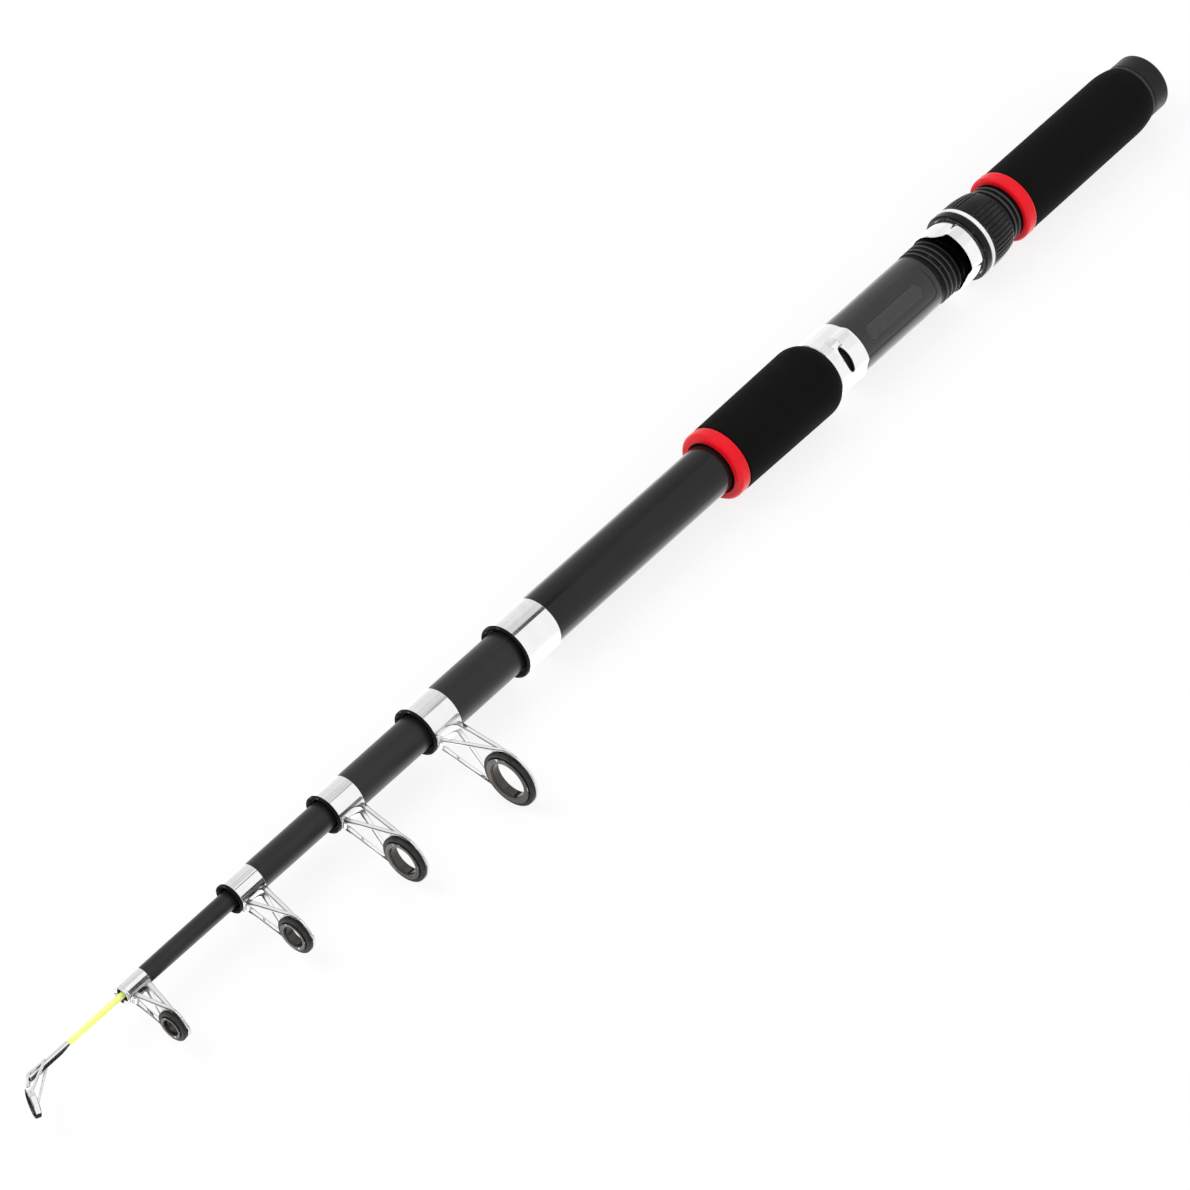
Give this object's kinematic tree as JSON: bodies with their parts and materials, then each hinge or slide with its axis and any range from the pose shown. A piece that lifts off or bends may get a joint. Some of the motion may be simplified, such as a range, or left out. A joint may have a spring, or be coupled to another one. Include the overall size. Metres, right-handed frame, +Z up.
{
  "type": "telescopic fishing rod",
  "caption": "Telescopic spinning rod with foam grips, a screw-lock reel seat, nested tapering sections, chromed ferrules, ring guides and a bright solid tip.",
  "frame": {"origin": "on the rod's axis, at the middle of the rear grip's straight stretch", "axes": "+X along the rod from the butt to the tip, +Z up from the table it lies on, guides lying towards +Y"},
  "size_m": [0.6367, 0.063, 0.0296],
  "materials": {
    "lacquer_black": "satin",
    "bush_grey": "satin",
    "grip_foam": "matte",
    "trim_red": "satin",
    "seat_plastic": "gloss",
    "chrome": "polished",
    "lip_plastic": "satin",
    "pad_rubber": "matte",
    "cap_plastic": "satin",
    "nut_plastic": "satin",
    "trim_pale": "satin",
    "tube_charcoal": "satin",
    "shock_black": "satin",
    "liner_ceramic": "gloss",
    "tip_yellow": "satin"
  },
  "bodies": {
    "handle": {"butt_blank": "lacquer_black", "cap_bush": "bush_grey", "rear_grip": "grip_foam", "rear_trim_ring": "trim_red", "reel_seat": "seat_plastic", "fixed_hood": "chrome", "foregrip": "grip_foam", "front_trim_ring": "trim_red", "handle_ferrule": "chrome", "handle_lip": "lip_plastic"},
    "pad": {"cap_pad": "pad_rubber"},
    "cap": {"butt_cap": "cap_plastic"},
    "hood": {"sliding_hood": "chrome"},
    "nut": {"locking_nut": "nut_plastic", "nut_trim_ring": "trim_pale"},
    "section_2": {"tube_2": "tube_charcoal", "ferrule_2": "chrome", "lip_2": "lip_plastic", "guide_frame_2": "chrome", "shock_ring_2": "shock_black", "guide_liner_2": "liner_ceramic"},
    "section_3": {"tube_3": "tube_charcoal", "ferrule_3": "chrome", "lip_3": "lip_plastic", "guide_frame_3": "chrome", "shock_ring_3": "shock_black", "guide_liner_3": "liner_ceramic"},
    "section_4": {"tube_4": "tube_charcoal", "ferrule_4": "chrome", "lip_4": "lip_plastic", "guide_frame_4": "chrome", "shock_ring_4": "shock_black", "guide_liner_4": "liner_ceramic"},
    "section_5": {"tube_5": "tube_charcoal", "ferrule_5": "chrome", "lip_5": "chrome", "guide_frame_5": "chrome", "shock_ring_5": "shock_black", "guide_liner_5": "liner_ceramic"},
    "tip": {"tip_rod": "tip_yellow", "tip_top_tube": "chrome", "tip_top_frame": "chrome", "tip_top_liner": "liner_ceramic"}
  },
  "joints": [
    {"name": "section_2_draw", "type": "slide", "parent": "handle", "child": "section_2", "axis": [1, 0, 0], "range_m": [-0.0337, 0.2944]},
    {"name": "section_3_draw", "type": "slide", "parent": "section_2", "child": "section_3", "axis": [1, 0, 0], "range_m": [-0.0344, 0.2946]},
    {"name": "section_4_draw", "type": "slide", "parent": "section_3", "child": "section_4", "axis": [1, 0, 0], "range_m": [-0.0347, 0.295]},
    {"name": "section_5_draw", "type": "slide", "parent": "section_4", "child": "section_5", "axis": [1, 0, 0], "range_m": [-0.0416, 0.2899]},
    {"name": "tip_draw", "type": "slide", "parent": "section_5", "child": "tip", "axis": [1, 0, 0], "range_m": [-0.0251, 0.2975]},
    {"name": "hood_travel", "type": "slide", "parent": "handle", "child": "hood", "axis": [1, 0, 0], "range_m": [-0.0001, 0.0131]},
    {"name": "nut_turn", "type": "hinge", "parent": "hood", "child": "nut", "pos_m": [0.0474, 0, 0], "axis": [1, 0, 0], "range_deg": [0, 1800]},
    {"name": "cap_travel", "type": "slide", "parent": "handle", "child": "pad", "axis": [1, 0, 0], "range_m": [-0.0101, 0.0001]},
    {"name": "cap_turn", "type": "hinge", "parent": "pad", "child": "cap", "pos_m": [-0.046, 0, 0], "axis": [1, 0, 0], "range_deg": [-1800, 0]}
  ],
  "couplings": [
    {"joint": "hood_travel", "follows": "nut_turn", "m_per_rad": 0.0004138},
    {"joint": "cap_travel", "follows": "cap_turn", "m_per_rad": 0.00031831}
  ]
}
